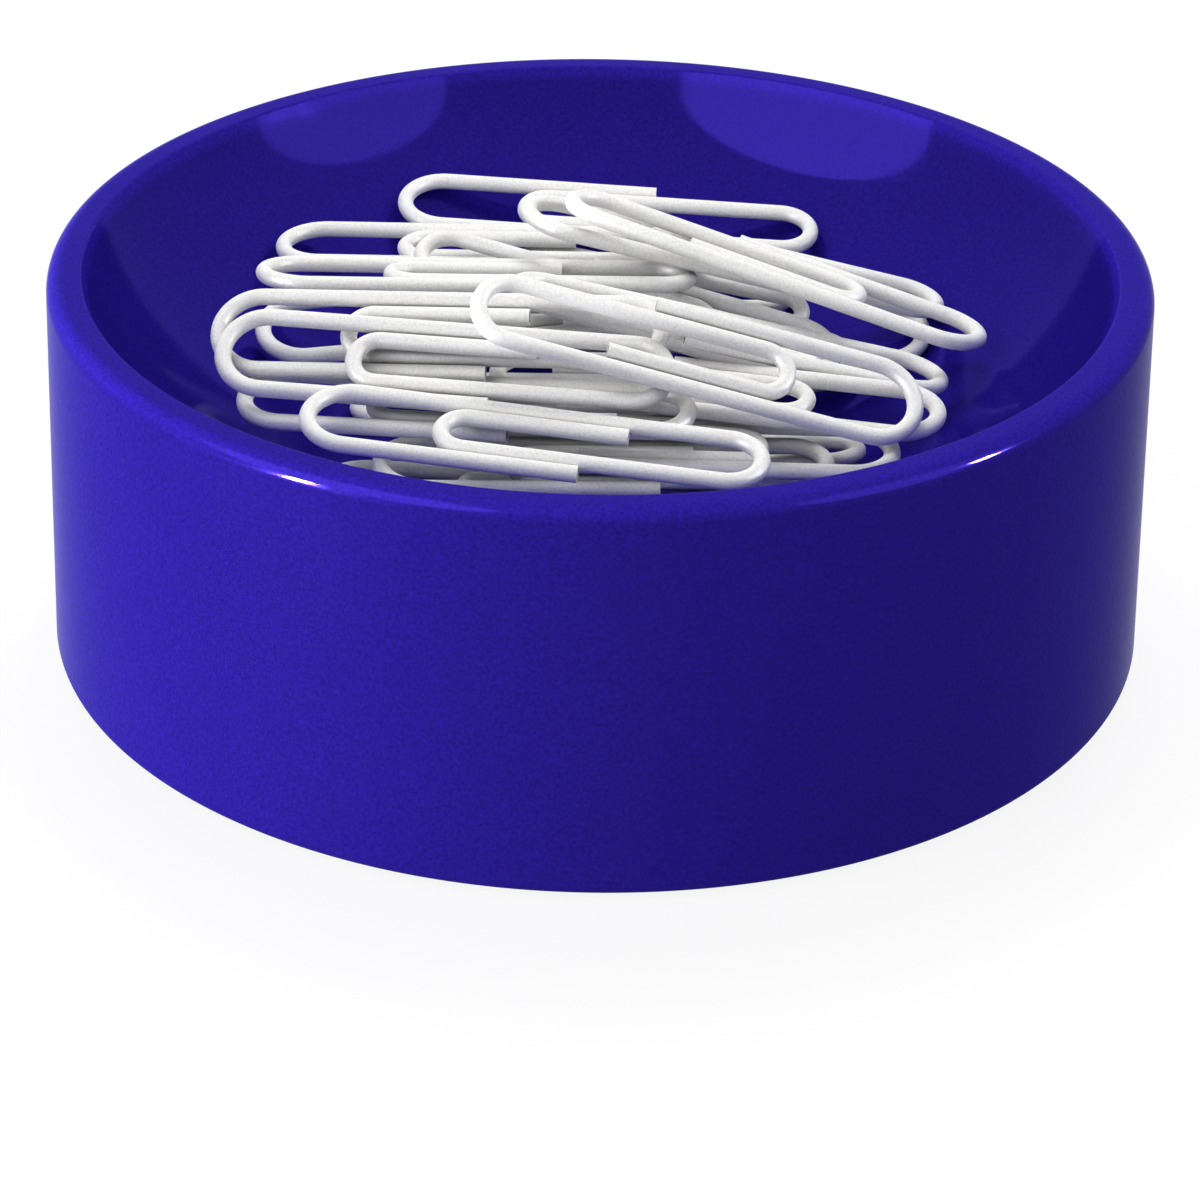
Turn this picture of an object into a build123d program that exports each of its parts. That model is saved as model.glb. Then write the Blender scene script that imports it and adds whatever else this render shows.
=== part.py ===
from build123d import *
import os
from math import acos, atan2, cos, hypot, sin, sqrt
import numpy as np

# Round magnetic paper clip holder: a moulded dish with a bowl top, a magnet under the bowl,
# a screwed base cover on rubber feet, and a heap of vinyl-coated gem clips in the bowl.
# Millimetres, Z up, front towards -Y, origin under the dish on the surface that it stands on.

# Dish, turned about Z
rim_radius = 40.0
base_flare = 0.5
rim_rounding = 1.2
rim_land = 1.3
edge_rounding = 0.3
base_rounding = 0.6
wall = 2.2

# Bowl: a gentle floor curve that runs into a tighter side curve
bowl_depth = 16.5
floor_curve = 64.0
side_curve = 25.0
bowl_thickness = 2.0

# Magnet under the bowl, in a collar, pressed up by a foam pad on the cover's post
magnet_radius = 18.0
magnet_thickness = 6.0
magnet_chamfer = 0.4
magnet_clearance = 0.2
collar_wall = 1.6
collar_depth = 4.0
pad_radius = 9.0
pad_thickness = 1.5
post_radius = 8.0
post_wall = 2.0
post_height = 1.0

# Base cover, its screws and its feet
cover_thickness = 2.0
cover_clearance = 0.15
fixing_inset = 7.8
fixing_count = 3
boss_radius = 3.5
screw_radius = 1.3
screw_head_radius = 2.5
screw_length = 9.0
screw_clearance = 0.1
pilot_spare_depth = 1.0
cross_width = 0.6
cross_length = 2.8
cross_depth = 0.7
foot_radius = 5.0
foot_recess = 1.0
foot_rise = 0.5
foot_clearance = 0.1

# Gem clip of coated wire, lengths along the clip taken from its far end
clip_length = 33.0
clip_width = 7.4
coated_diameter = 1.2
core_diameter = 0.9
leg_gap = 0.1
inner_loop_length = 23.6
outer_end = 12.9
inner_end = 10.1

# How the heap rests
rest_gap = 0.15
map_cell = 0.1
wire_samples = 260
dip_search = 4.0
lean_search = 8.0
search_step = 2.0

# Clips from the lowest to the uppermost: middle x, y in heap units, heading, then dip of the right
# end and lean towards the front, in degrees, then the side of the wide end and the face that is up
heap_unit = 1.0
heap = [
    (-3.0, -13.5, 4, 4, -8, "left", "front"),
    (3.0, -5.5, -5, -4, -12, "right", "back"),
    (-2.0, 2.0, 3, 2, -2, "left", "back"),
    (3.0, 10.0, -4, -2, 8, "right", "front"),
    (-1.0, 17.5, 4, 0, 8, "left", "front"),
    (0.5, -14.0, 5, 0, -4, "left", "front"),
    (9.0, 13.0, -16, 8, 10, "right", "front"),
    (5.0, -13.0, 2, 0, 0, "right", "front"),
    (8.5, -7.5, -9, 4, 12, "right", "front"),
    (-9.5, -12.0, -9, 2, 10, "left", "front"),
    (-9.5, 9.0, 10, 2, 24, "left", "back"),
    (0.5, 25.0, -3, 2, 2, "left", "back"),
    (-8.5, 16.0, -5, 0, 2, "left", "front"),
    (2.0, 8.0, -14, 6, 4, "right", "front"),
    (-9.0, 5.0, 9, 2, -18, "left", "front"),
    (-11.5, -7.0, -5, 0, 40, "left", "front"),
    (9.5, -1.0, 1, 9, -10, "right", "back"),
    (10.0, 10.5, 1, 10, 4, "left", "front"),
    (-11.0, -11.0, -8, 0, 38, "left", "front"),
    (-4.5, -19.0, -8, 3, 2, "left", "front"),
    (13.0, 6.5, -16, 11, -18, "right", "front"),
    (7.0, -12.0, -1, 11, 38, "right", "front"),
]

# Heights and radii that follow
base_radius = rim_radius + base_flare
inner_radius = rim_radius - rim_rounding - rim_land
wall_inside = rim_radius - wall
fixing_radius = wall_inside - fixing_inset
cover_top = foot_rise + cover_thickness
pad_bottom = cover_top + post_height
magnet_bottom = pad_bottom + pad_thickness
seat_height = magnet_bottom + magnet_thickness
floor_height = seat_height + bowl_thickness
rim_height = floor_height + bowl_depth
collar_inside = magnet_radius + magnet_clearance
collar_outside = collar_inside + collar_wall
screw_tip = foot_rise + screw_length

# The side curve meets the floor curve without a kink and ends on the rim's inner edge
floor_centre = (0.0, floor_height + floor_curve)
curve_step = floor_curve - side_curve
edge_drop = floor_curve - bowl_depth
edge_distance = hypot(inner_radius, edge_drop)
reach = (edge_distance**2 + curve_step**2 - side_curve**2) / (2 * curve_step)
blend_angle = atan2(inner_radius, edge_drop) - acos(reach / edge_distance)
side_centre = (
    floor_centre[0] + curve_step * sin(blend_angle),
    floor_centre[1] - curve_step * cos(blend_angle),
)


def on_curve(centre, radius, angle):
    """Point of a bowl curve, at an angle from straight down."""
    return (centre[0] + radius * sin(angle), centre[1] - radius * cos(angle))


def bowl_arc(centre, radius, start, end):
    """Arc of a bowl curve between two angles from straight down."""
    middle = (start + end) / 2
    return ThreePointArc(*(on_curve(centre, radius, angle) for angle in (start, middle, end)))


def angle_at(centre, radius, r):
    """Angle from straight down at which a bowl curve reaches the radius r from the axis."""
    return atan2(r - centre[0], sqrt(radius**2 - (r - centre[0]) ** 2))


def bowl_height(r, stand_off):
    """Heights of a surface that stands off from the bowl, at the radii r."""
    floor = floor_curve - stand_off
    side = side_curve - stand_off
    on_floor = floor_centre[1] - np.sqrt(np.maximum(floor**2 - r**2, 0))
    on_side = side_centre[1] - np.sqrt(np.maximum(side**2 - (r - side_centre[0]) ** 2, 0))
    inside = np.where(r < side_centre[0] + side * sin(blend_angle), on_floor, on_side)
    return np.where(r < side_centre[0] + side, inside, rim_height + r)


os.makedirs("parts", exist_ok=True)

# Dish shell: wall, rim and bowl in one moulding, with the magnet collar and screw bosses below
rim_edge_angle = angle_at(side_centre, side_curve, inner_radius)
under_side = side_curve + bowl_thickness
under_floor = floor_curve + bowl_thickness
wall_angle = angle_at(side_centre, under_side, wall_inside)
collar_angle = angle_at(floor_centre, under_floor, collar_outside)

with BuildPart() as dish_shell:
    with BuildSketch(Plane.XZ):
        with BuildLine():
            Polyline(
                (0, foot_rise),
                (base_radius, foot_rise),
                (rim_radius, rim_height),
                (0, rim_height),
                close=True,
            )
        make_face()
    revolve(axis=Axis.Z)
    outer_edges = dish_shell.edges().filter_by(GeomType.CIRCLE).sort_by(Axis.Z)
    fillet(outer_edges[-1], radius=rim_rounding)
    fillet(dish_shell.edges().filter_by(GeomType.CIRCLE).sort_by(Axis.Z)[0], radius=base_rounding)
    with BuildSketch(Plane.XZ):
        with BuildLine():
            under = bowl_arc(side_centre, under_side, wall_angle, blend_angle)
            below = bowl_arc(floor_centre, under_floor, blend_angle, collar_angle)
            Polyline(
                below @ 1,
                (collar_outside, seat_height - collar_depth),
                (collar_inside, seat_height - collar_depth),
                (collar_inside, seat_height),
                (0, seat_height),
                (0, foot_rise),
                (wall_inside, foot_rise),
                under @ 0,
            )
        make_face()
    revolve(axis=Axis.Z, mode=Mode.SUBTRACT)
    with BuildSketch(Plane.XY.offset(cover_top)):
        with PolarLocations(fixing_radius, fixing_count, start_angle=90):
            Circle(boss_radius)
    extrude(amount=rim_height - cover_top)
    with BuildSketch(Plane.XZ):
        with BuildLine():
            floor_line = bowl_arc(floor_centre, floor_curve, 0, blend_angle)
            side_line = bowl_arc(side_centre, side_curve, blend_angle, rim_edge_angle)
            Polyline(side_line @ 1, (0, rim_height), floor_line @ 0)
        make_face()
    revolve(axis=Axis.Z, mode=Mode.SUBTRACT)
    rim_edges = dish_shell.edges().filter_by(GeomType.CIRCLE).group_by(Axis.Z)[-1]
    fillet(rim_edges.sort_by(SortBy.RADIUS)[0], radius=edge_rounding)
    with BuildSketch(Plane.XY.offset(cover_top)):
        with PolarLocations(fixing_radius, fixing_count, start_angle=90):
            Circle(screw_radius + screw_clearance)
    extrude(amount=screw_tip + pilot_spare_depth - cover_top, mode=Mode.SUBTRACT)
dish_shell.part.label = "dish_shell"
export_step(dish_shell.part, "parts/dish_shell.step")

# Magnet: a plain ferrite disc against the flat seat under the bowl floor
with BuildPart() as magnet:
    with BuildSketch(Plane.XY.offset(magnet_bottom)):
        Circle(magnet_radius)
    extrude(amount=magnet_thickness)
    chamfer(magnet.edges(), length=magnet_chamfer)
magnet.part.label = "magnet"
export_step(magnet.part, "parts/magnet.step")

# Foam pad: takes up the play between the magnet and the cover's post
with BuildPart() as foam_pad:
    with BuildSketch(Plane.XY.offset(pad_bottom)):
        Circle(pad_radius)
    extrude(amount=pad_thickness)
foam_pad.part.label = "foam_pad"
export_step(foam_pad.part, "parts/foam_pad.step")

# Base cover: a disc inside the foot of the wall, with a post, screw holes and foot recesses
underside = Plane(origin=(0, 0, foot_rise), x_dir=(1, 0, 0), z_dir=(0, 0, -1))
with BuildPart() as base_cover:
    with BuildSketch(Plane.XY.offset(foot_rise)):
        Circle(wall_inside - cover_clearance)
    extrude(amount=cover_thickness)
    with BuildSketch(Plane.XY.offset(cover_top)):
        Circle(post_radius)
        Circle(post_radius - post_wall, mode=Mode.SUBTRACT)
    extrude(amount=post_height)
    with BuildSketch(Plane.XY.offset(foot_rise)):
        with PolarLocations(fixing_radius, fixing_count, start_angle=-90):
            Circle(foot_radius + foot_clearance)
    extrude(amount=foot_recess, mode=Mode.SUBTRACT)
    with Locations(underside):
        with PolarLocations(fixing_radius, fixing_count, start_angle=-90):
            CounterSinkHole(screw_radius + screw_clearance, screw_head_radius + screw_clearance)
base_cover.part.label = "base_cover"
export_step(base_cover.part, "parts/base_cover.step")

# Base screws: countersunk, with a cross recess, up through the cover into the bosses
head_height = screw_head_radius - screw_radius
with BuildPart() as screw:
    with BuildSketch(Plane.XZ):
        with BuildLine():
            Polyline(
                (0, foot_rise),
                (screw_head_radius, foot_rise),
                (screw_radius, foot_rise + head_height),
                (screw_radius, screw_tip - screw_radius),
                (0, screw_tip),
                close=True,
            )
        make_face()
    revolve(axis=Axis.Z)
    with BuildSketch(Plane.XY.offset(foot_rise)):
        Rectangle(cross_length, cross_width)
        Rectangle(cross_width, cross_length)
    extrude(amount=cross_depth, mode=Mode.SUBTRACT)
with BuildPart() as base_screws:
    with PolarLocations(fixing_radius, fixing_count, start_angle=90):
        add(screw.part)
base_screws.part.label = "base_screws"
export_step(base_screws.part, "parts/base_screws.step")

# Rubber feet: discs in the cover's recesses, standing a little below the wall
foot_names = ["rubber_foot_front", "rubber_foot_right", "rubber_foot_left"]
for foot_place, foot_name in zip(PolarLocations(fixing_radius, fixing_count, start_angle=-90), foot_names):
    with BuildPart() as foot:
        with BuildSketch(Plane.XY):
            with Locations(foot_place.position):
                Circle(foot_radius)
        extrude(amount=foot_rise + foot_recess)
    foot.part.label = foot_name
    export_step(foot.part, f"parts/{foot_name}.step")

# Gem clip lying flat about the origin, with its wide end towards +X
outer_leg = (clip_width - coated_diameter) / 2
inner_leg = outer_leg - coated_diameter - leg_gap
far_radius = (outer_leg + inner_leg) / 2
far_end = -clip_length / 2
wide_x = clip_length / 2 - coated_diameter / 2 - outer_leg
far_x = far_end + coated_diameter / 2 + far_radius
inner_x = far_end + inner_loop_length - coated_diameter / 2 - inner_leg
far_y = (inner_leg - outer_leg) / 2

with BuildLine() as clip_path:
    Line((far_end + outer_end, outer_leg), (wide_x, outer_leg))
    ThreePointArc((wide_x, outer_leg), (wide_x + outer_leg, 0), (wide_x, -outer_leg))
    Line((wide_x, -outer_leg), (far_x, -outer_leg))
    ThreePointArc((far_x, -outer_leg), (far_x - far_radius, far_y), (far_x, inner_leg))
    Line((far_x, inner_leg), (inner_x, inner_leg))
    ThreePointArc((inner_x, inner_leg), (inner_x + inner_leg, 0), (inner_x, -inner_leg))
    Line((inner_x, -inner_leg), (far_end + inner_end, -inner_leg))

# Vinyl coating: a tube along the whole wire
with BuildPart() as coating:
    with BuildSketch(clip_path.line ^ 0):
        Circle(coated_diameter / 2)
        Circle(core_diameter / 2, mode=Mode.SUBTRACT)
    sweep(path=clip_path.line)

# Steel core: the wire inside the coating, bare at both cut ends
with BuildPart() as core:
    with BuildSketch(clip_path.line ^ 0):
        Circle(core_diameter / 2)
    sweep(path=clip_path.line)

# Points along the middle of the wire, and a map of how low a wire can lie over the bowl and the heap
clip_wire = clip_path.wire()
wire_points = np.array([tuple(clip_wire @ t) for t in np.linspace(0, 1, wire_samples)])
map_steps = round(rim_radius / map_cell)
map_axis = np.arange(-map_steps, map_steps + 1) * map_cell
heap_map = bowl_height(np.hypot(*np.meshgrid(map_axis, map_axis)), coated_diameter / 2 + rest_gap)
wire_spacing = coated_diameter + rest_gap
near_steps = round(wire_spacing / map_cell) + 1
near_x, near_y = np.mgrid[-near_steps : near_steps + 1, -near_steps : near_steps + 1].reshape(2, -1)


def map_index(points):
    """Map cells under the points."""
    cells = np.rint(points[..., :2] / map_cell).astype(int) + map_steps
    return np.clip(cells, near_steps, 2 * map_steps - near_steps)


def clip_turn(heading, dip, lean, wide_side, face):
    """Rotation of a clip: its end and face first, then its lean, dip and heading."""
    turn = Rot(Z=heading) * Rot(Y=dip) * Rot(X=lean)
    if wide_side == "left":
        turn = turn * Rot(Z=180)
    if face == "back":
        turn = turn * Rot(X=180)
    return turn


def turned_points(turn):
    """Wire points of a clip after a rotation about its middle."""
    axes = [(turn * Pos(*unit)).position for unit in ((1, 0, 0), (0, 1, 0), (0, 0, 1))]
    return wire_points @ np.array([tuple(axis) for axis in axes])


def settle(x_units, y_units, heading, dip, lean, wide_side, face):
    """Place of a clip that is let down on to the heap, tilted a little to lie as low as it can."""
    x, y = x_units * heap_unit, y_units * heap_unit
    best_height = None
    for dip_change in np.arange(-dip_search, dip_search + search_step, search_step):
        for lean_change in np.arange(-lean_search, lean_search + search_step, search_step):
            turn = clip_turn(heading, dip + dip_change, lean + lean_change, wide_side, face)
            points = turned_points(turn) + (x, y, 0)
            cells = map_index(points)
            height = np.max(heap_map[cells[:, 0], cells[:, 1]] - points[:, 2])
            if best_height is None or height < best_height:
                best_height, best_turn = height, turn
    return Pos(x, y, best_height) * best_turn, turned_points(best_turn) + (x, y, best_height)


def raise_map(points):
    """Raises the map over a clip that has come to rest."""
    for point, cell in zip(points, map_index(points)):
        column, row = cell[0] + near_x, cell[1] + near_y
        away = np.hypot((column - map_steps) * map_cell - point[0], (row - map_steps) * map_cell - point[1])
        over = point[2] + np.sqrt(np.maximum(wire_spacing**2 - away**2, 0))
        before = heap_map[column, row]
        heap_map[column, row] = np.where(away < wire_spacing, np.maximum(before, over), before)


for number, clip in enumerate(heap, start=1):
    place, resting_points = settle(*clip)
    raise_map(resting_points)
    for layer_name, layer in (("coating", coating), ("core", core)):
        with BuildPart() as placed:
            with Locations(place):
                add(layer.part)
        node = f"clip_{number:02d}_{layer_name}"
        placed.part.label = node
        export_step(placed.part, f"parts/{node}.step")
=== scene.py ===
from math import acos, atan2, cos, hypot, pi, radians, sin, sqrt, tan

import bmesh
import bpy
from mathutils import Matrix, Vector


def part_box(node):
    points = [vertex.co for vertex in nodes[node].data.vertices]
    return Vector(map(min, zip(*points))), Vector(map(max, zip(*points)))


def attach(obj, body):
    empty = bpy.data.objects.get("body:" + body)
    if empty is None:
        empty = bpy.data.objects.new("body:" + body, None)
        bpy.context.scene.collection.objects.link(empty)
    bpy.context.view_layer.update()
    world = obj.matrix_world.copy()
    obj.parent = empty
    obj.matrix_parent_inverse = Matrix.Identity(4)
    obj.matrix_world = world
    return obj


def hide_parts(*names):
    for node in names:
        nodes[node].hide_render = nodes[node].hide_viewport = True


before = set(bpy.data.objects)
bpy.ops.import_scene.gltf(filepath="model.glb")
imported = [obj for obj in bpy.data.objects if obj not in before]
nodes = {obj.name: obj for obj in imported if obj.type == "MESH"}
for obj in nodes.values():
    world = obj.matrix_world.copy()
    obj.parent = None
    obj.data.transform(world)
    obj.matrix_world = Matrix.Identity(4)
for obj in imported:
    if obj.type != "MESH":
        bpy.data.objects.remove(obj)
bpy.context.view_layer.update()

# Dish shell: wall, rounded rim and bowl in one injection moulding of blue-violet ABS, from a tool that
# is polished for gloss. The magnet's collar and the screw bosses are moulded on its underside, and
# everything else is fixed to those.

# The sizes are the solid's own, in millimetres. The form is turned again with more sides, because the
# solid's facets show as teeth along the foot and the rim.
millimetre = 0.001
rim_radius, base_radius, inner_radius, wall_inside = 40.0, 40.5, 37.5, 37.8
foot_height, cover_top, seat_height, floor_height, rim_height = 0.5, 2.5, 11.0, 13.0, 29.5
base_rounding, rim_rounding, edge_rounding = 0.6, 1.2, 0.3
floor_curve, side_curve, bowl_thickness = 64.0, 25.0, 2.0
collar_inside, collar_outside, collar_foot = 18.2, 19.8, 7.0

# The bowl's side curve runs into its floor curve without a kink and ends on the rim's inner edge.
floor_centre = Vector((0, floor_height + floor_curve))
curve_step = floor_curve - side_curve
edge_from_centre = Vector((inner_radius, floor_centre.y - rim_height))
reach = (edge_from_centre.length**2 + curve_step**2 - side_curve**2) / (2 * curve_step)
blend_angle = atan2(*edge_from_centre) - acos(reach / edge_from_centre.length)
side_centre = floor_centre + curve_step * Vector((sin(blend_angle), -cos(blend_angle)))


def angle_at(centre, curve, radius):
    """Angle from straight down at which a bowl curve reaches a distance from the axis."""
    return atan2(radius - centre.x, sqrt(curve**2 - (radius - centre.x) ** 2))


def bowl_arc(centre, curve, start, end):
    """Points of a bowl curve between two angles from straight down."""
    steps = 36
    angles = [start + (end - start) * step / steps for step in range(steps + 1)]
    return [centre + curve * Vector((sin(angle), -cos(angle))) for angle in angles]


def rounded(before, corner, after, radius):
    """Points of the rounding of a corner between two straight lines."""
    steps = 14
    back, on = (Vector(before) - corner).normalized(), (Vector(after) - corner).normalized()
    half = back.angle(on) / 2
    centre = corner + (back + on).normalized() * radius / sin(half)
    run = radius / tan(half)
    start, end = corner + back * run - centre, corner + on * run - centre
    return [centre + start.lerp(end, step / steps).normalized() * radius for step in range(steps + 1)]


def turned_mesh(name, profile, sides):
    """A solid turned about Z, from a profile in metres that starts below and ends above on the axis."""
    points = [(0, 0, profile[0][1])]
    for ring_radius, ring_height in profile[1:-1]:
        for side in range(sides):
            angle = 2 * pi * side / sides
            points.append((ring_radius * cos(angle), ring_radius * sin(angle), ring_height))
    points.append((0, 0, profile[-1][1]))
    last = len(points) - 1 - sides
    faces = []
    for side in range(sides):
        after = (side + 1) % sides
        faces.append((0, 1 + after, 1 + side))
        for first in range(1, last, sides):
            faces.append((first + side, first + after, first + sides + after, first + sides + side))
        faces.append((len(points) - 1, last + side, last + after))
    mesh = bpy.data.meshes.new(name)
    mesh.from_pydata(points, [], faces)
    mesh.shade_smooth()
    return mesh


under_side, under_floor = side_curve + bowl_thickness, floor_curve + bowl_thickness
bowl_edge = angle_at(side_centre, side_curve, inner_radius)
bowl_line = bowl_arc(floor_centre, floor_curve, 0, blend_angle)
bowl_line += bowl_arc(side_centre, side_curve, blend_angle, bowl_edge)[1:]
foot_corner, rim_corner = Vector((base_radius, foot_height)), Vector((rim_radius, rim_height))
dish_profile = [(0, seat_height), (collar_inside, seat_height), (collar_inside, collar_foot)]
dish_profile += [(collar_outside, collar_foot)]
collar_angle = angle_at(floor_centre, under_floor, collar_outside)
wall_angle = angle_at(side_centre, under_side, wall_inside)
dish_profile += bowl_arc(floor_centre, under_floor, collar_angle, blend_angle)
dish_profile += bowl_arc(side_centre, under_side, blend_angle, wall_angle)[1:]
dish_profile += [(wall_inside, foot_height)]
dish_profile += rounded((wall_inside, foot_height), foot_corner, rim_corner, base_rounding)
dish_profile += rounded(foot_corner, rim_corner, (inner_radius, rim_height), rim_rounding)
dish_profile += rounded(rim_corner, bowl_line[-1], bowl_line[-2], edge_rounding)
rounding_reach = 2 * edge_rounding
dish_profile += [p for p in reversed(bowl_line) if (p - bowl_line[-1]).length > rounding_reach]
dish_sides = 288
dish_mesh = turned_mesh(
    "moulded_dish", [(r * millimetre, z * millimetre) for r, z in dish_profile], dish_sides
)

# Three bosses with pilot holes for the screws, sunk a little into the underside of the bowl.
boss_count, boss_circle, boss_radius, boss_sink, boss_sides = 3, 30.0, 3.5, 0.3, 48
pilot_radius, pilot_top = 1.4, 10.5
shell = bmesh.new()
shell.from_mesh(dish_mesh)
for boss in range(boss_count):
    boss_angle = pi / 2 + 2 * pi * boss / boss_count
    rings = []
    for ring_radius, ring_height in (
        (pilot_radius, pilot_top),
        (pilot_radius, cover_top),
        (boss_radius, cover_top),
        (boss_radius, None),
    ):
        ring = []
        for side in range(boss_sides):
            turn = 2 * pi * side / boss_sides
            x = boss_circle * cos(boss_angle) + ring_radius * cos(turn)
            y = boss_circle * sin(boss_angle) + ring_radius * sin(turn)
            across = hypot(x, y) - side_centre.x
            z = ring_height or side_centre.y - sqrt(under_side**2 - across**2) + boss_sink
            ring.append(shell.verts.new(Vector((x, y, z)) * millimetre))
        rings.append(ring)
    for inner, outer in zip(rings, rings[1:]):
        for side in range(boss_sides):
            shell.faces.new((inner[side - 1], inner[side], outer[side], outer[side - 1]))
    shell.faces.new(rings[0])
    shell.faces.new(rings[-1])
bmesh.ops.recalc_face_normals(shell, faces=shell.faces)
shell.to_mesh(dish_mesh)
shell.free()
dish_mesh.shade_smooth()
sharp_corner = radians(35)
dish_mesh.set_sharp_from_angle(angle=sharp_corner)
dish_piece = bpy.data.objects.new("moulded_dish", dish_mesh)
bpy.context.scene.collection.objects.link(dish_piece)


def linear(hex_colour):
    """An sRGB hex colour as linear RGBA."""
    shares = [int(hex_colour[i : i + 2], 16) / 255 for i in (1, 3, 5)]
    return tuple(s / 12.92 if s <= 0.04045 else ((s + 0.055) / 1.055) ** 2.4 for s in shares) + (1.0,)


def add_node(tree, kind, settings=None, links=None):
    """A node of a material or world, with its settings, and with links into its inputs."""
    node = tree.nodes.new(kind)
    for name, value in (settings or {}).items():
        if isinstance(name, str) and hasattr(node, name):
            setattr(node, name, value)
        else:
            node.inputs[name].default_value = value
    for name, source in (links or {}).items():
        tree.links.new(source, node.inputs[name])
    return node


# A mix node's sockets for colours and for numbers, which share their names.
colour_a, colour_b, mixed_colour = 6, 7, 2
number_a, number_b, mixed_number = 2, 3, 0


def new_material(name):
    """An empty node material, with its tree, its surface shader and object coordinates in metres."""
    material = bpy.data.materials.new(name)
    material.use_nodes = True
    tree = material.node_tree
    coordinates = add_node(tree, "ShaderNodeTexCoord").outputs["Object"]
    return material, tree, tree.nodes["Principled BSDF"], coordinates


def per_metre(size_mm):
    """Texture scale at which a pattern's features are this many millimetres across."""
    return 1 / (size_mm * millimetre)


# Gloss ABS: a deep colour with faint flow clouds, fine specks of pigment and a slight orange peel. The
# tool's bowl side is polished and its wall side is honed, so the bowl mirrors the lamps and the wall
# has only a broad sheen. The narrow rim is painted a step lighter, which is painted light on its top.
# The specks are drawn coarser than the real pigment, so that they show.
gloss_abs, tree, surface, place = new_material("moulded_gloss_abs")
pigment, pigment_cloud = linear("#1F1479"), linear("#1B116D")
clouds = add_node(
    tree,
    "ShaderNodeTexNoise",
    {"Scale": per_metre(16), "Detail": 5.0, "Roughness": 0.6},
    {"Vector": place},
)
specks = add_node(
    tree,
    "ShaderNodeTexNoise",
    {"Scale": per_metre(0.24), "Detail": 2.0},
    {"Vector": place},
)
cloud_mix = add_node(
    tree,
    "ShaderNodeMix",
    {"data_type": "RGBA", colour_a: pigment, colour_b: pigment_cloud},
    {0: clouds.outputs["Fac"]},
)
speck_level = add_node(
    tree,
    "ShaderNodeMapRange",
    {"From Min": 0.25, "From Max": 0.75, "To Min": 0.68, "To Max": 1.32},
    {"Value": specks.outputs["Fac"]},
)
without_height = (1, 1, 0)
from_axis = add_node(
    tree,
    "ShaderNodeVectorMath",
    {"operation": "MULTIPLY", 1: without_height},
    {0: place},
)
axis_distance = add_node(
    tree,
    "ShaderNodeVectorMath",
    {"operation": "LENGTH"},
    {0: from_axis.outputs["Vector"]},
)
outside_radius, rounding_foot, blend_width = 38.6 * millimetre, 28.3 * millimetre, 0.5 * millimetre
outside = add_node(
    tree,
    "ShaderNodeMapRange",
    {"From Min": outside_radius, "From Max": outside_radius + blend_width},
    {"Value": axis_distance.outputs["Value"]},
)
height = add_node(tree, "ShaderNodeSeparateXYZ", None, {0: place})
below_rim = add_node(
    tree,
    "ShaderNodeMapRange",
    {"From Min": rounding_foot + blend_width, "From Max": rounding_foot},
    {"Value": height.outputs["Z"]},
)
# Painted light: above the rim land the pigment is scaled up, so that the rim's top reads lighter.
rim_land, painted_rim_light = 29.0 * millimetre, 1.48
painted_rim_light_level = add_node(
    tree,
    "ShaderNodeMapRange",
    {"From Min": rim_land - blend_width, "From Max": rim_land, "To Min": 1.0, "To Max": painted_rim_light},
    {"Value": height.outputs["Z"]},
)
speck_and_rim_light_level = add_node(
    tree,
    "ShaderNodeMath",
    {"operation": "MULTIPLY"},
    {0: speck_level.outputs["Result"], 1: painted_rim_light_level.outputs["Result"]},
)
pigment_colour = add_node(
    tree,
    "ShaderNodeVectorMath",
    {"operation": "SCALE"},
    {0: cloud_mix.outputs[mixed_colour], "Scale": speck_and_rim_light_level.outputs[0]},
)
on_wall = add_node(
    tree,
    "ShaderNodeMath",
    {"operation": "MULTIPLY"},
    {0: outside.outputs["Result"], 1: below_rim.outputs["Result"]},
)
haze = add_node(
    tree,
    "ShaderNodeTexNoise",
    {"Scale": per_metre(9), "Detail": 6.0, "Roughness": 0.65},
    {"Vector": place},
)
bowl_roughness = add_node(
    tree,
    "ShaderNodeMapRange",
    {"From Min": 0.35, "From Max": 0.75, "To Min": 0.05, "To Max": 0.13},
    {"Value": haze.outputs["Fac"]},
)
wall_roughness = 0.26
skin_roughness = add_node(
    tree,
    "ShaderNodeMix",
    {"data_type": "FLOAT", number_b: wall_roughness},
    {0: on_wall.outputs[0], number_a: bowl_roughness.outputs["Result"]},
)
peel = add_node(
    tree,
    "ShaderNodeTexNoise",
    {"Scale": per_metre(2.2), "Detail": 2.0},
    {"Vector": place},
)
peel_bump = add_node(
    tree,
    "ShaderNodeBump",
    {"Strength": 0.06, "Distance": 0.02 * millimetre},
    {"Height": peel.outputs["Fac"]},
)
hone = add_node(
    tree,
    "ShaderNodeTexNoise",
    {"Scale": per_metre(0.4), "Detail": 3.0},
    {"Vector": place},
)
hone_bump = add_node(
    tree,
    "ShaderNodeBump",
    {"Distance": 0.03 * millimetre},
    {
        "Strength": on_wall.outputs[0],
        "Height": hone.outputs["Fac"],
        "Normal": peel_bump.outputs["Normal"],
    },
)
# The skin mirrors little, and in the pigment's blue. That share is set face on for each channel, and the
# IOR, far under the 1.54 of bare ABS, only sets how late the skin turns white towards its edges.
skin_ior = 1.038
face_on_mirror = (0.007, 0.004, 0.06)
plain_mirror = ((skin_ior - 1) / (skin_ior + 1)) ** 2
mirror_tint = [share / plain_mirror for share in face_on_mirror] + [1.0]
surface.inputs["IOR"].default_value = skin_ior
surface.inputs["Specular Tint"].default_value = mirror_tint
tree.links.new(pigment_colour.outputs["Vector"], surface.inputs["Base Color"])
tree.links.new(skin_roughness.outputs[mixed_number], surface.inputs["Roughness"])
tree.links.new(hone_bump.outputs["Normal"], surface.inputs["Normal"])
dish_mesh.materials.append(gloss_abs)
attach(dish_piece, "holder")
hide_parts("dish_shell")


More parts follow.
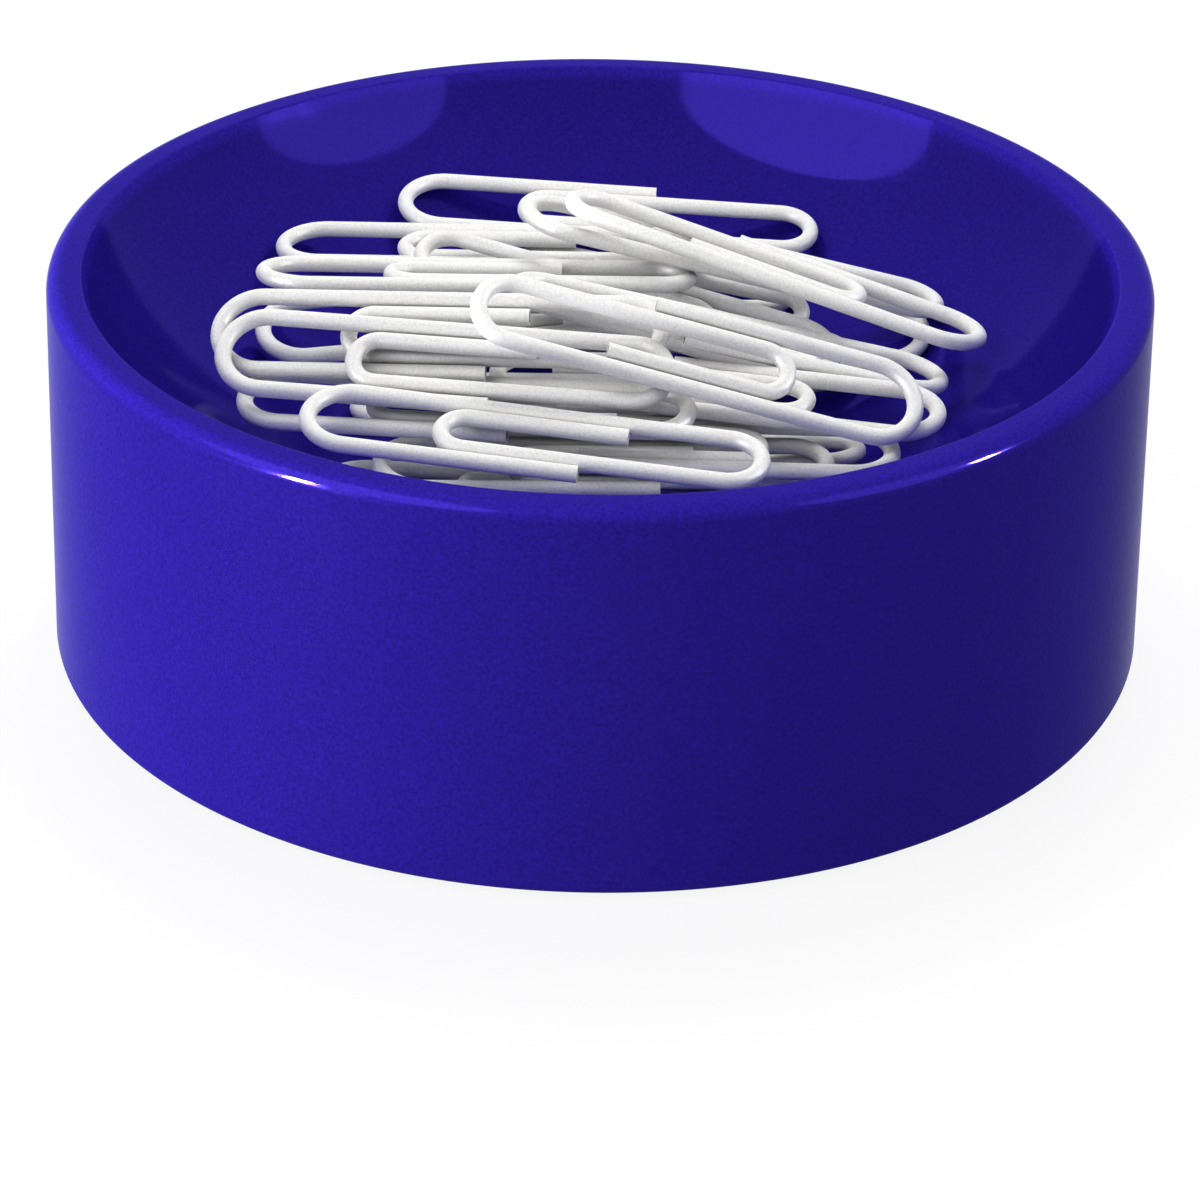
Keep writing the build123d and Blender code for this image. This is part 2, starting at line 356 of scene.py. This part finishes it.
def dress(name, material):
    """Gives a carried-over node its material."""
    node = nodes[name]
    node.data.materials.clear()
    node.data.materials.append(material)


# Ferrite: a dull charcoal ceramic with fine parallel lines where it was ground.
ferrite, tree, surface, place = new_material("ground_sintered_ferrite")
wave_length = 2 * pi / 20  # a wave texture of scale 1 repeats after this many metres
grind = add_node(
    tree,
    "ShaderNodeTexWave",
    {"Scale": per_metre(0.4) * wave_length, "Distortion": 1.5, "Detail": 3.0},
    {"Vector": place},
)
grain = add_node(
    tree,
    "ShaderNodeTexNoise",
    {"Scale": per_metre(0.5), "Detail": 4.0},
    {"Vector": place},
)
ferrite_colour = add_node(
    tree,
    "ShaderNodeMix",
    {"data_type": "RGBA", colour_a: linear("#2A2A2D"), colour_b: linear("#3C3C40")},
    {0: grain.outputs["Fac"]},
)
grind_bump = add_node(
    tree,
    "ShaderNodeBump",
    {"Strength": 0.2, "Distance": 0.02 * millimetre},
    {"Height": grind.outputs["Fac"]},
)
surface.inputs["Roughness"].default_value = 0.6
tree.links.new(ferrite_colour.outputs[mixed_colour], surface.inputs["Base Color"])
tree.links.new(grind_bump.outputs["Normal"], surface.inputs["Normal"])
dress("magnet", ferrite)

# Foam pad: a disc punched from closed-cell foam sheet, squeezed between the magnet and the cover's
# post, so that its edge bulges between two flat faces.
pad_low, pad_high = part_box("foam_pad")
pad_radius = pad_high.x
pad_edge_draw = 0.25 * millimetre
edge_steps = 8
pad_sides = 96
pad_profile = [
    (
        pad_radius - pad_edge_draw * (1 - sin(pi * step / edge_steps)),
        pad_low.z + (pad_high.z - pad_low.z) * step / edge_steps,
    )
    for step in range(edge_steps + 1)
]
pad_outline = [(0, pad_low.z), *pad_profile, (0, pad_high.z)]
pad_mesh = turned_mesh("squeezed_foam_pad", pad_outline, pad_sides)
pad_piece = bpy.data.objects.new("squeezed_foam_pad", pad_mesh)
bpy.context.scene.collection.objects.link(pad_piece)

# Closed-cell foam: dark grey, dead matt, with small burst cells over its whole skin.
foam, tree, surface, place = new_material("punched_closed_cell_foam")
cells = add_node(tree, "ShaderNodeTexVoronoi", {"Scale": per_metre(0.7)}, {"Vector": place})
foam_colour = add_node(
    tree,
    "ShaderNodeMix",
    {"data_type": "RGBA", colour_a: linear("#2C2C2E"), colour_b: linear("#48484A")},
    {0: cells.outputs["Distance"]},
)
cell_bump = add_node(
    tree,
    "ShaderNodeBump",
    {"Strength": 0.6, "Distance": 0.1 * millimetre},
    {"Height": cells.outputs["Distance"]},
)
surface.inputs["Roughness"].default_value = 0.95
tree.links.new(foam_colour.outputs[mixed_colour], surface.inputs["Base Color"])
tree.links.new(cell_bump.outputs["Normal"], surface.inputs["Normal"])
pad_mesh.materials.append(foam)
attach(pad_piece, "holder")
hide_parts("foam_pad")

# Base cover: a flat ABS moulding of the dish's colour, let into the foot of the wall and held by the
# three screws. Its outside is spark grained, so that scratches don't show.

# Grained ABS: the dish's pigment, broken up by a fine even grain that takes the gloss away.
grained_abs, tree, surface, place = new_material("spark_grained_abs")
grain = add_node(
    tree,
    "ShaderNodeTexNoise",
    {"Scale": per_metre(0.45), "Detail": 3.0},
    {"Vector": place},
)
cover_colour = add_node(
    tree,
    "ShaderNodeMix",
    {"data_type": "RGBA", colour_a: linear("#2A1A9C"), colour_b: linear("#3322B2")},
    {0: grain.outputs["Fac"]},
)
grain_bump = add_node(
    tree,
    "ShaderNodeBump",
    {"Strength": 0.5, "Distance": 0.05 * millimetre},
    {"Height": grain.outputs["Fac"]},
)
surface.inputs["Roughness"].default_value = 0.55
surface.inputs["IOR"].default_value = 1.54
tree.links.new(cover_colour.outputs[mixed_colour], surface.inputs["Base Color"])
tree.links.new(grain_bump.outputs["Normal"], surface.inputs["Normal"])
dress("base_cover", grained_abs)

# Base screws: countersunk cross-recess screws of zinc plated steel, up through the cover into the
# dish's bosses.

# Zinc plate: a pale grey metal, a little cloudy from the bath.
zinc, tree, surface, place = new_material("zinc_plated_steel")
bath = add_node(
    tree,
    "ShaderNodeTexNoise",
    {"Scale": per_metre(0.8), "Detail": 4.0},
    {"Vector": place},
)
zinc_colour = add_node(
    tree,
    "ShaderNodeMix",
    {"data_type": "RGBA", colour_a: linear("#B9BCC2"), colour_b: linear("#D3D5D8")},
    {0: bath.outputs["Fac"]},
)
zinc_roughness = add_node(
    tree,
    "ShaderNodeMapRange",
    {"From Min": 0.3, "From Max": 0.7, "To Min": 0.22, "To Max": 0.42},
    {"Value": bath.outputs["Fac"]},
)
surface.inputs["Metallic"].default_value = 1.0
tree.links.new(zinc_colour.outputs[mixed_colour], surface.inputs["Base Color"])
tree.links.new(zinc_roughness.outputs["Result"], surface.inputs["Roughness"])
dress("base_screws", zinc)

# Feet: three discs die cut from black rubber sheet and glued into the cover's recesses. They stand a
# little proud of the wall's foot, so that the holder doesn't slide.

# Rubber: near black and dry, with the fine texture of the sheet and a little grey dust in it.
rubber, tree, surface, place = new_material("die_cut_black_rubber")
dust = add_node(
    tree,
    "ShaderNodeTexNoise",
    {"Scale": per_metre(0.3), "Detail": 5.0},
    {"Vector": place},
)
rubber_colour = add_node(
    tree,
    "ShaderNodeMix",
    {"data_type": "RGBA", colour_a: linear("#19191B"), colour_b: linear("#37373A")},
    {0: dust.outputs["Fac"]},
)
rubber_bump = add_node(
    tree,
    "ShaderNodeBump",
    {"Strength": 0.4, "Distance": 0.05 * millimetre},
    {"Height": dust.outputs["Fac"]},
)
surface.inputs["Roughness"].default_value = 0.85
tree.links.new(rubber_colour.outputs[mixed_colour], surface.inputs["Base Color"])
tree.links.new(rubber_bump.outputs["Normal"], surface.inputs["Normal"])
for foot in ("rubber_foot_front", "rubber_foot_right", "rubber_foot_left"):
    dress(foot, rubber)

# Clips: gem clips bent from steel wire with a white vinyl coat. The coat is extruded on to the wire
# before it is bent and cut, so the bare steel shows at both cut ends.

# Vinyl: a soft white skin with a low sheen, a chalky grain, and a tone that is faintly uneven. It has
# painted shade where the wires lie close, from ambient occlusion. The grain is drawn coarser than it is,
# so that it shows.
vinyl, tree, surface, place = new_material("extruded_white_vinyl")
tone = add_node(
    tree,
    "ShaderNodeTexNoise",
    {"Scale": per_metre(6), "Detail": 4.0},
    {"Vector": place},
)
vinyl_colour = add_node(
    tree,
    "ShaderNodeMix",
    {"data_type": "RGBA", colour_a: linear("#F8F7F3"), colour_b: linear("#EEEDEA")},
    {0: tone.outputs["Fac"]},
)
skin = add_node(
    tree,
    "ShaderNodeTexNoise",
    {"Scale": per_metre(0.17), "Detail": 3.0},
    {"Vector": place},
)
vinyl_roughness = add_node(
    tree,
    "ShaderNodeMapRange",
    {"From Min": 0.3, "From Max": 0.7, "To Min": 0.48, "To Max": 0.62},
    {"Value": skin.outputs["Fac"]},
)
skin_bump = add_node(
    tree,
    "ShaderNodeBump",
    {"Strength": 0.6, "Distance": 0.04 * millimetre},
    {"Height": skin.outputs["Fac"]},
)
# Painted shade: ambient occlusion darkens the coat's colour where wires lie close to or under others.
painted_shade = add_node(tree, "ShaderNodeAmbientOcclusion", {"samples": 8, "Distance": 5 * millimetre})
painted_shade_level = add_node(
    tree,
    "ShaderNodeMapRange",
    {"From Min": 0.1, "From Max": 0.6, "To Min": 0.3, "To Max": 1.0},
    {"Value": painted_shade.outputs["AO"]},
)
grain_level = add_node(
    tree,
    "ShaderNodeMapRange",
    {"From Min": 0.3, "From Max": 0.6, "To Min": 0.86, "To Max": 1.0},
    {"Value": skin.outputs["Fac"]},
)
shade_and_grain_level = add_node(
    tree,
    "ShaderNodeMath",
    {"operation": "MULTIPLY"},
    {0: painted_shade_level.outputs["Result"], 1: grain_level.outputs["Result"]},
)
coat_colour = add_node(
    tree,
    "ShaderNodeVectorMath",
    {"operation": "SCALE"},
    {0: vinyl_colour.outputs[mixed_colour], "Scale": shade_and_grain_level.outputs[0]},
)
surface.inputs["IOR"].default_value = 1.53
tree.links.new(coat_colour.outputs["Vector"], surface.inputs["Base Color"])
tree.links.new(vinyl_roughness.outputs["Result"], surface.inputs["Roughness"])
tree.links.new(skin_bump.outputs["Normal"], surface.inputs["Normal"])

# Drawn steel wire: bright grey metal, scored across where it was sheared off.
wire_steel, tree, surface, place = new_material("drawn_and_sheared_steel")
shear = add_node(
    tree,
    "ShaderNodeTexWave",
    {"Scale": per_metre(0.12) * wave_length, "Distortion": 4.0, "Detail": 3.0},
    {"Vector": place},
)
steel_colour = add_node(
    tree,
    "ShaderNodeMix",
    {"data_type": "RGBA", colour_a: linear("#6E6F72"), colour_b: linear("#9A9B9E")},
    {0: shear.outputs["Fac"]},
)
steel_roughness = add_node(
    tree,
    "ShaderNodeMapRange",
    {"To Min": 0.3, "To Max": 0.5},
    {"Value": shear.outputs["Fac"]},
)
surface.inputs["Metallic"].default_value = 1.0
tree.links.new(steel_colour.outputs[mixed_colour], surface.inputs["Base Color"])
tree.links.new(steel_roughness.outputs["Result"], surface.inputs["Roughness"])
for name in nodes:
    if name.endswith("_coating"):
        dress(name, vinyl)
    elif name.endswith("_core"):
        dress(name, wire_steel)

# Stage: a plain white floor that keeps the shadow under the dish, in a white surround. Most of the
# white is there only for the camera, straight or mirrored, so it hardly lights the object.
white = linear("#FFFFFF")
floor_half = 3.0
floor_square = ((-1, -1), (1, -1), (1, 1), (-1, 1))
floor_corners = [(x * floor_half, y * floor_half, 0) for x, y in floor_square]
floor_mesh = bpy.data.meshes.new("floor")
floor_mesh.from_pydata(floor_corners, [], [(0, 1, 2, 3)])
floor = bpy.data.objects.new("floor", floor_mesh)
bpy.context.scene.collection.objects.link(floor)


def seen_share(tree):
    """1 for what the camera sees, straight, mirrored or through glass, and 0 for light on a surface."""
    path = add_node(tree, "ShaderNodeLightPath").outputs
    straight = {0: path["Is Camera Ray"], 1: path["Is Glossy Ray"]}
    mirrored = add_node(tree, "ShaderNodeMath", {"operation": "MAXIMUM"}, straight)
    through = {0: mirrored.outputs[0], 1: path["Is Transmission Ray"]}
    return add_node(tree, "ShaderNodeMath", {"operation": "MAXIMUM"}, through).outputs[0]


# Card: matt paper board, with no pattern that the eye can see. The board itself is grey, and a glow
# that only the camera sees, straight or mirrored, makes it white.
floor_white, tree, surface, place = new_material("matt_white_card")
tree.nodes.remove(surface)
floor_lift = 0.88
card_colour = linear("#646464")
lift = add_node(tree, "ShaderNodeMath", {"operation": "MULTIPLY", 1: floor_lift}, {0: seen_share(tree)})
card = add_node(tree, "ShaderNodeBsdfDiffuse", {"Color": card_colour})
glow = add_node(tree, "ShaderNodeEmission", {"Color": white}, {"Strength": lift.outputs[0]})
card_and_glow = add_node(tree, "ShaderNodeAddShader", None, {0: card.outputs[0], 1: glow.outputs[0]})
tree.links.new(card_and_glow.outputs[0], tree.nodes["Material Output"].inputs["Surface"])
floor_mesh.materials.append(floor_white)

# Surround: white where the camera sees it, straight or mirrored, and a low even light from all round
# on the object.
world = bpy.data.worlds.new("white_surround")
bpy.context.scene.world = world
world.use_nodes = True
tree = world.node_tree
room_light = 0.2
room_level = add_node(
    tree,
    "ShaderNodeMapRange",
    {"To Min": room_light, "To Max": 1.0},
    {"Value": seen_share(tree)},
)
background = tree.nodes["Background"]
background.inputs["Color"].default_value = white
tree.links.new(room_level.outputs["Result"], background.inputs["Strength"])

# Lamps: one group lights the object, from above and behind, from each side, and low at each side for
# the wall. Another group shows in the gloss, as an oval patch at each side of the bowl's back and as a
# streak at each side of the rim.
aim = Vector((0, 0, 0.02))
lit_distance, mirrored_distance = 0.54, 0.5


def softbox(name, shape, azimuth, elevation, width, height, power, mirrored):
    """A softbox round the object, at an azimuth from the front towards the right.

    It either shows in the gloss or lights the object. The two kinds stand at different distances, so
    that one doesn't hide the other.
    """
    lamp = bpy.data.lights.new(name, "AREA")
    lamp.shape = shape
    lamp.size, lamp.size_y, lamp.energy = width, height, power
    stand = bpy.data.objects.new(name, lamp)
    a, e = radians(azimuth), radians(elevation)
    towards = Vector((sin(a) * cos(e), -cos(a) * cos(e), sin(e)))
    stand.location = aim + towards * (mirrored_distance if mirrored else lit_distance)
    stand.rotation_euler = (-towards).to_track_quat("-Z", "Y").to_euler()
    stand.visible_glossy, stand.visible_diffuse = mirrored, not mirrored
    bpy.context.scene.collection.objects.link(stand)


# name, shape, azimuth and elevation in degrees, width and height in metres, power in watts
lighting_softboxes = [
    ("top_light", "RECTANGLE", 180, 64, 0.3, 0.3, 2.25),
    ("left_light", "ELLIPSE", -56, 38, 0.53, 0.40, 1.0),
    ("right_light", "ELLIPSE", 67, 32, 0.40, 0.36, 0.5),
    ("left_card", "RECTANGLE", -76, 0.5, 0.8, 0.04, 7.2),
    ("right_card", "RECTANGLE", 85, 0.5, 0.8, 0.04, 1.1),
]
mirrored_softboxes = [
    ("left_oval", "ELLIPSE", -56, 38, 0.53, 0.40, 1.65),
    ("right_oval", "ELLIPSE", 67, 32, 0.40, 0.36, 0.68),
    ("left_glint", "RECTANGLE", -58, 14, 0.038, 0.12, 16.0),
    ("right_glint", "RECTANGLE", 81, 22.5, 0.045, 0.06, 9.0),
]
for lamp_row in lighting_softboxes:
    softbox(*lamp_row, mirrored=False)
for lamp_row in mirrored_softboxes:
    softbox(*lamp_row, mirrored=True)

# Camera: in front of the dish and a little above it, where the outlines of the rim and of the base
# fall as they do in the photograph.
eye = Vector((0, -0.2919, 0.1599))
look_down, look_right, roll = radians(28.52), radians(0.06), radians(0.87)
ahead = cos(look_down)
forward = Vector((sin(look_right) * ahead, cos(look_right) * ahead, -sin(look_down)))
level_right = forward.cross(Vector((0, 0, 1))).normalized()
level_up = level_right.cross(forward)
right = level_right * cos(roll) + level_up * sin(roll)
up = level_up * cos(roll) - level_right * sin(roll)
camera_data = bpy.data.cameras.new("camera")
camera_data.sensor_width = 36.0
camera_data.lens = 131.9
camera_data.clip_start = 0.01
camera = bpy.data.objects.new("camera", camera_data)
camera.matrix_world = Matrix.Translation(eye) @ Matrix((right, up, -forward)).transposed().to_4x4()
bpy.context.scene.collection.objects.link(camera)
bpy.context.scene.camera = camera
bpy.context.scene.view_settings.view_transform = "Standard"
